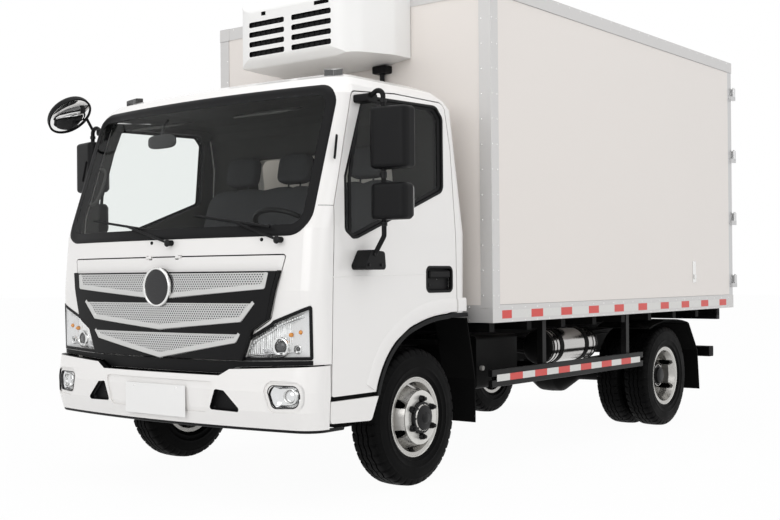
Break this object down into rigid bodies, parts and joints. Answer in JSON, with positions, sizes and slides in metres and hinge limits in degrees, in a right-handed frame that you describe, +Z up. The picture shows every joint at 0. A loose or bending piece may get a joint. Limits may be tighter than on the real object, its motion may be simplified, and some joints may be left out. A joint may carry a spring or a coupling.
{
  "type": "refrigerated box truck",
  "caption": "Light refrigerated truck: tilting cab with opening doors and front lid, ladder frame, twin rear wheels and an insulated box with rear doors and a cooling unit.",
  "frame": {"origin": "on the ground under the middle of the truck's length and width", "axes": "+X to the vehicle's left, +Y towards the rear, +Z up; the cab faces -Y"},
  "size_m": [2.664, 5.5005, 2.952],
  "materials": {
    "cab_paint": "gloss white paint",
    "window_glass": "clear, faintly green",
    "lamp_lens": "clear moulded lens",
    "bright_mesh": "satin bright mesh",
    "black_plastic": "grained black",
    "dark_rubber": "matt black",
    "seat_cloth": "grey woven seat under clear film",
    "tyre": "ribbed tread",
    "wheel_silver": "silver wheel paint",
    "polished_steel": "polished",
    "door_steel": "brushed stainless",
    "box_panel": "white gel coat on glass fibre",
    "unit_shell": "white moulded cover",
    "smoked_lens": "amber",
    "lamp_red": "red lens on a black board",
    "chassis_black": "satin black frame paint"
  },
  "bodies": {
    "chassis": {"air_tank": "polished_steel", "box_bearers": "chassis_black", "box_floor": "box_panel", "box_roof": "box_panel", "box_side_walls": "box_panel", "box_trims": "wheel_silver", "box_wall_front": "box_panel", "cooling_unit": "unit_shell", "drain": "black_plastic", "driveline": "chassis_black", "frame_tanks": "chassis_black", "front_axle_beam": "chassis_black", "ladder_frame": "chassis_black", "leaf_springs": "chassis_black", "mud_flaps": "dark_rubber", "rear_axle": "chassis_black", "rear_frame": "door_steel", "rear_lamps": "lamp_red", "side_guards": "chassis_black", "tank_straps": "chassis_black", "underrun_bar": "chassis_black"},
    "wheel_front_left": {"front_rim_left": "wheel_silver", "front_tyre_left": "tyre"},
    "wheel_front_right": {"front_rim_right": "wheel_silver", "front_tyre_right": "tyre"},
    "wheels_rear_left": {"rear_rims_left": "wheel_silver", "rear_tyres_left": "tyre"},
    "wheels_rear_right": {"rear_rims_right": "wheel_silver", "rear_tyres_right": "tyre"},
    "knuckle_left": {"knuckle_left": "chassis_black"},
    "knuckle_right": {"knuckle_right": "chassis_black"},
    "cab": {"cab_shell": "cab_paint", "cab_floor": "dark_rubber", "cab_glass": "window_glass", "front_lamps": "lamp_lens", "front_bumper": "cab_paint", "step_panels": "cab_paint", "arch_trims": "black_plastic", "dashboard": "black_plastic", "wipers": "black_plastic", "roof_lamps": "smoked_lens", "seats": "seat_cloth"},
    "steering_wheel": {"steering_wheel": "black_plastic"},
    "front_lid": {"front_lid": "cab_paint", "grille_frame": "black_plastic", "grille_mesh": "bright_mesh"},
    "door_left": {"door_left": "cab_paint", "door_glass_left": "window_glass", "mirrors_left": "black_plastic"},
    "door_right": {"door_right": "cab_paint", "door_glass_right": "window_glass", "mirrors_right": "black_plastic"},
    "box_door_left": {"box_door_left": "box_panel", "box_door_gear_left": "door_steel"},
    "box_door_right": {"box_door_right": "box_panel", "box_door_gear_right": "door_steel"}
  },
  "joints": [
    {"name": "steer_left", "type": "hinge", "parent": "chassis", "child": "knuckle_left", "pos_m": [0.81, -1.6935, 0.388], "axis": [0, 0, 1], "range_deg": [-35, 35]},
    {"name": "steer_right", "type": "hinge", "parent": "chassis", "child": "knuckle_right", "pos_m": [-0.81, -1.6935, 0.388], "axis": [0, 0, 1], "range_deg": [-35, 35]},
    {"name": "spin_front_left", "type": "hinge", "parent": "knuckle_left", "child": "wheel_front_left", "pos_m": [0.91, -1.6935, 0.388], "axis": [1, 0, 0], "continuous": true},
    {"name": "spin_rear_left", "type": "hinge", "parent": "chassis", "child": "wheels_rear_left", "pos_m": [0.9, 1.6665, 0.388], "axis": [1, 0, 0], "continuous": true},
    {"name": "spin_front_right", "type": "hinge", "parent": "knuckle_right", "child": "wheel_front_right", "pos_m": [-0.91, -1.6935, 0.388], "axis": [1, 0, 0], "continuous": true},
    {"name": "spin_rear_right", "type": "hinge", "parent": "chassis", "child": "wheels_rear_right", "pos_m": [-0.9, 1.6665, 0.388], "axis": [1, 0, 0], "continuous": true},
    {"name": "cab_tilt", "type": "hinge", "parent": "chassis", "child": "cab", "pos_m": [0, -2.6335, 0.5], "axis": [1, 0, 0], "range_deg": [0, 42]},
    {"name": "lid_open", "type": "hinge", "parent": "cab", "child": "front_lid", "pos_m": [0, -2.67734, 1.293], "axis": [-1, 0, 0], "range_deg": [0, 50]},
    {"name": "steering_wheel_turn", "type": "hinge", "parent": "cab", "child": "steering_wheel", "pos_m": [0.44, -2.1135, 1.44], "axis": [0, 0.5299, 0.848], "range_deg": [-525, 525]},
    {"name": "door_open_left", "type": "hinge", "parent": "cab", "child": "door_left", "pos_m": [1.018, -2.4165, 1.112], "axis": [0, -0.0325, -0.9995], "range_deg": [0, 70]},
    {"name": "door_open_right", "type": "hinge", "parent": "cab", "child": "door_right", "pos_m": [-1.018, -2.4165, 1.112], "axis": [0, 0.0325, 0.9995], "range_deg": [0, 70]},
    {"name": "box_door_open_left", "type": "hinge", "parent": "chassis", "child": "box_door_left", "pos_m": [1.141, 2.7315, 1.922], "axis": [0, 0, -1], "range_deg": [0, 245]},
    {"name": "box_door_open_right", "type": "hinge", "parent": "chassis", "child": "box_door_right", "pos_m": [-1.141, 2.7315, 1.922], "axis": [0, 0, 1], "range_deg": [0, 245]}
  ],
  "couplings": [
    {"joint": "steer_right", "follows": "steer_left", "ratio": 1},
    {"joint": "steering_wheel_turn", "follows": "steer_left", "ratio": 15}
  ]
}
